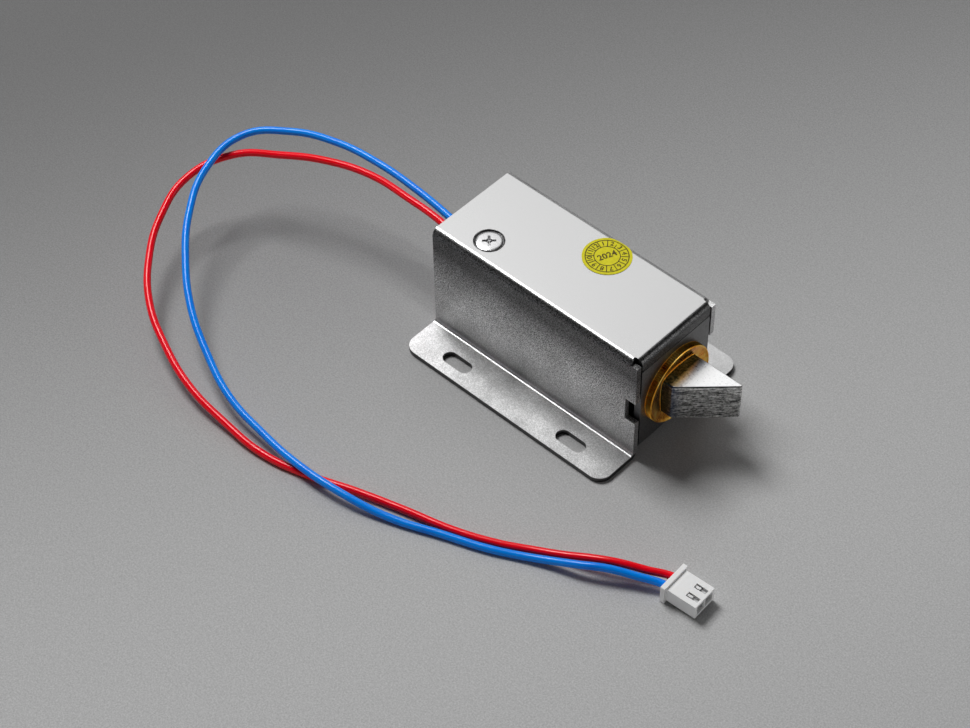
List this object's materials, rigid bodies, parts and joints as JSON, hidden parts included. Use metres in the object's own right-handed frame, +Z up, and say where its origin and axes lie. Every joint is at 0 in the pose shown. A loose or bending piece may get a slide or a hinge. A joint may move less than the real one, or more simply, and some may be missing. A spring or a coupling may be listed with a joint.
{
  "type": "solenoid lock",
  "caption": "Pull-in solenoid lock: a folded sheet housing on slotted feet, a brass bush and a slanted, square latch bolt on a spring, with coloured leads to a small plug.",
  "frame": {"origin": "centre of the pattern of four slots, on the flat underside of the feet", "axes": "+X along the bolt, out of the front of the housing; +Z up, from the feet to the top of the housing; +Y across, towards the side on which the bolt's slant ends in its tip"},
  "size_m": [0.1481, 0.0831, 0.0277],
  "materials": {
    "plated_sheet": "bright plated, finely speckled satin",
    "yoke_steel": "plated, satin",
    "brass": "turned, bright edges",
    "bolt_steel": "plated and brushed",
    "spring_steel": "drawn wire",
    "core_steel": "turned, plated",
    "white_plastic": "moulded, satin",
    "black_plastic": "moulded, matt",
    "winding_copper": "enamelled wire",
    "tape": "clear gloss tape",
    "screw_steel": "bright plated",
    "label": "printed paper, matt",
    "black_sleeve": "shrunk sleeve, satin",
    "red_insulation": "smooth, glossy",
    "blue_insulation": "smooth, glossy",
    "contact_metal": "tinned"
  },
  "bodies": {
    "lock_body": {"housing": "plated_sheet", "yoke": "yoke_steel", "guide_bush": "brass", "return_spring": "spring_steel", "rear_core": "core_steel", "core_washer": "white_plastic", "bobbin": "black_plastic", "winding": "winding_copper", "coil_tape": "tape", "fixing_screw": "screw_steel", "date_label": "label", "joint_sleeve_red": "black_sleeve", "joint_sleeve_blue": "black_sleeve", "lead_red": "red_insulation", "lead_blue": "blue_insulation", "plug_housing": "white_plastic", "contact_red": "contact_metal", "contact_blue": "contact_metal"},
    "latch": {"latch_bolt": "bolt_steel"}
  },
  "joints": [
    {"name": "latch_slide", "type": "slide", "parent": "lock_body", "child": "latch", "axis": [1, 0, 0], "range_m": [-0.01, 0], "stiffness_N_per_m": 80, "springref_m": 0.01, "deforming": ["return_spring"]}
  ]
}
